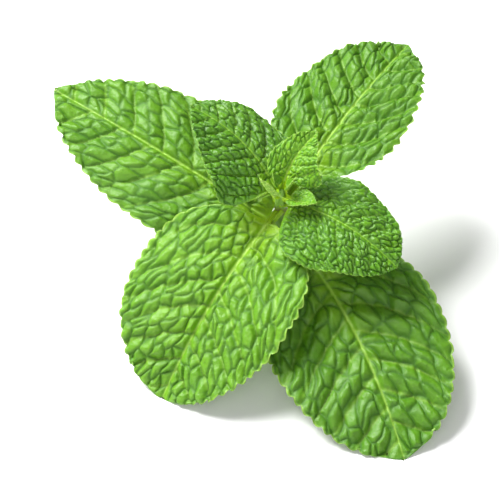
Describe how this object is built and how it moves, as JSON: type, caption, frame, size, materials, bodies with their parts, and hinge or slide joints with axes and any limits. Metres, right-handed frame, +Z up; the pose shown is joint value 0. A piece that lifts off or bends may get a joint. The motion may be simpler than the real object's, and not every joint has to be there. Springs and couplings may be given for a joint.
{
  "type": "mint sprig",
  "caption": "Picked tip of a mint shoot lying on its leaves and cut stem, with opposite pairs of broad toothed leaves around a small folded crown.",
  "frame": {"origin": "middle of the sprig's footprint, at the height of the surface it lies on", "axes": "+Z up from the surface; -Y towards the two front leaves, whose tips touch the surface; +X to the right seen from there"},
  "size_m": [0.0864, 0.0902, 0.0465],
  "materials": {
    "mature_leaf": "fresh green leaf, quilted between sunken veins, satin sheen above and paler and duller beneath",
    "upper_leaf": "fresh green leaf with fine tight quilting and small bright highlights, paler beneath",
    "young_leaf": "tender yellow-green leaf, finely quilted, satin",
    "stem": "smooth juicy square stem, satin, tinged purple-brown at the joints, pale at the cut"
  },
  "bodies": {
    "root": {"stem": "stem", "lower_leaf_left": "mature_leaf", "lower_leaf_front": "mature_leaf", "middle_leaf_front": "mature_leaf", "middle_leaf_back": "mature_leaf", "upper_leaf_left": "upper_leaf", "upper_leaf_right": "upper_leaf", "crown_leaf_back": "young_leaf", "crown_leaf_front": "young_leaf", "crown_leaf_side": "young_leaf", "tip_leaf_right": "young_leaf", "tip_leaf_left": "young_leaf"}
  },
  "joints": []
}
